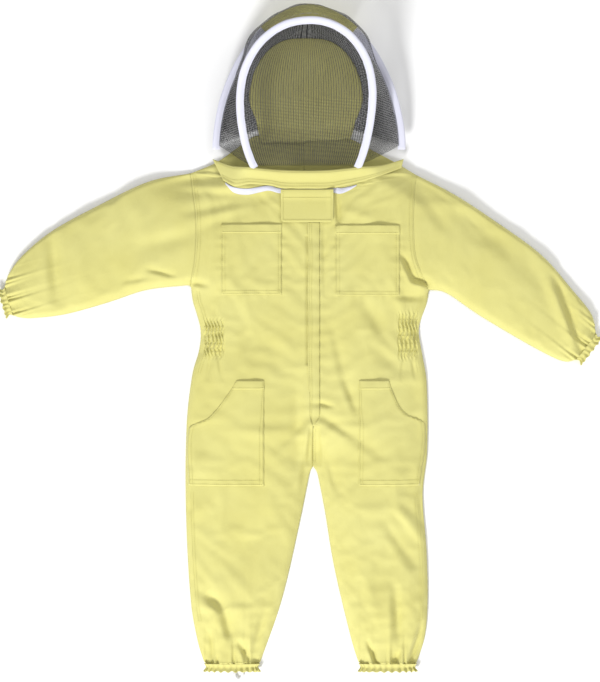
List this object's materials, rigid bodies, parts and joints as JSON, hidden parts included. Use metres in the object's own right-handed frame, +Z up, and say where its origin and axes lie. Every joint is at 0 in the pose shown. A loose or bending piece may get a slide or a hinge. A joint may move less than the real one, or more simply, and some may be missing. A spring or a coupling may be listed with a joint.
{
  "type": "beekeeping suit",
  "caption": "Child-size hooded coverall for beekeeping, laid flat: mesh veil on spring hoops, zip front, patch pockets, elasticated cuffs and waist.",
  "frame": {"origin": "centre of the laid-out suit, on the surface that it lies on", "axes": "+Z up out of the front of the suit, +Y from the ankles to the hood, +X to the right as it is looked down on"},
  "size_m": [1.1948, 1.3438, 0.1999],
  "materials": {
    "cotton": "pale lemon-yellow cotton drill, matt",
    "tape": "white cotton tape, matt",
    "veil": "black polyester insect mesh, see-through",
    "zip_teeth": "white moulded plastic",
    "steel": "nickel-plated zip metal and spring wire",
    "elastic": "white woven elastic",
    "hook_and_loop": "white hook-and-loop tape"
  },
  "bodies": {
    "coverall": {"front_left_panel": "cotton", "back_left_panel": "cotton", "front_right_panel": "cotton", "back_right_panel": "cotton", "chest_pocket_left": "cotton", "chest_pocket_right": "cotton", "hip_pocket_left": "cotton", "hip_pocket_right": "cotton", "ankle_cuff_left": "cotton", "ankle_elastic_left": "elastic", "ankle_cuff_right": "cotton", "ankle_elastic_right": "elastic", "waist_elastic_left": "elastic", "waist_elastic_right": "elastic", "foot_loop_left": "tape", "foot_loop_right": "tape", "zip_tape_left": "tape", "zip_tape_right": "tape", "zip_teeth": "zip_teeth", "zip_bottom_stop": "steel", "neck_zip_suit_tape": "tape", "hook_patch_left": "hook_and_loop", "hook_patch_right": "hook_and_loop"},
    "sleeve_left": {"sleeve_left": "cotton", "wrist_cuff_left": "cotton", "wrist_elastic_left": "elastic"},
    "sleeve_right": {"sleeve_right": "cotton", "wrist_cuff_right": "cotton", "wrist_elastic_right": "elastic"},
    "hood": {"collar": "cotton", "hood_back": "cotton", "hood_crown": "cotton", "veil_back_left": "veil", "veil_back_right": "veil", "veil_back_top": "veil", "veil_band": "veil", "rear_hoop": "steel", "rear_hoop_casing": "tape", "neck_zip_hood_tape": "tape", "neck_zip_teeth": "zip_teeth"},
    "face_hoop": {"face_hoop": "steel", "face_hoop_casing": "tape", "veil_front": "veil"},
    "neck_flap": {"neck_flap": "cotton", "loop_patch_left": "hook_and_loop", "loop_patch_right": "hook_and_loop"},
    "placket_flap": {"placket_flap": "cotton"},
    "zip_slider": {"zip_slider": "steel", "zip_pull": "steel"},
    "neck_slider_left": {"neck_slider_left": "steel", "neck_pull_left": "steel"},
    "neck_slider_right": {"neck_slider_right": "steel", "neck_pull_right": "steel"}
  },
  "joints": [
    {"name": "sleeve_left_swing", "type": "hinge", "parent": "coverall", "child": "sleeve_left", "pos_m": [-0.31107, 0.22912, 0.015], "axis": [0, 0, 1], "range_deg": [-25, 35]},
    {"name": "sleeve_right_swing", "type": "hinge", "parent": "coverall", "child": "sleeve_right", "pos_m": [0.34993, 0.21512, 0.015], "axis": [0, 0, 1], "range_deg": [-35, 25]},
    {"name": "hood_release", "type": "slide", "parent": "coverall", "child": "hood", "axis": [0, 0.8, 0.6], "range_m": [0, 0.3]},
    {"name": "face_hoop_fold", "type": "hinge", "parent": "hood", "child": "face_hoop", "pos_m": [0.01193, 0.34512, 0.05], "axis": [1, 0, 0], "range_deg": [-15, 0]},
    {"name": "neck_flap_lift", "type": "hinge", "parent": "hood", "child": "neck_flap", "pos_m": [0.01393, 0.30912, 0.043], "axis": [-1, 0, 0], "range_deg": [0, 110]},
    {"name": "placket_open", "type": "hinge", "parent": "coverall", "child": "placket_flap", "pos_m": [0.03993, 0.03912, 0.0352], "axis": [0, 1, 0], "range_deg": [0, 165]},
    {"name": "front_zip", "type": "slide", "parent": "coverall", "child": "zip_slider", "axis": [0, -1, 0], "range_m": [0, 0.44]},
    {"name": "neck_zip_left", "type": "hinge", "parent": "hood", "child": "neck_slider_left", "pos_m": [-0.00107, 0.92412, 0.039], "axis": [0, 0, 1], "range_deg": [-8.5, 0]},
    {"name": "neck_zip_right", "type": "hinge", "parent": "hood", "child": "neck_slider_right", "pos_m": [-0.00107, 0.92412, 0.039], "axis": [0, 0, 1], "range_deg": [0, 7.5]}
  ]
}
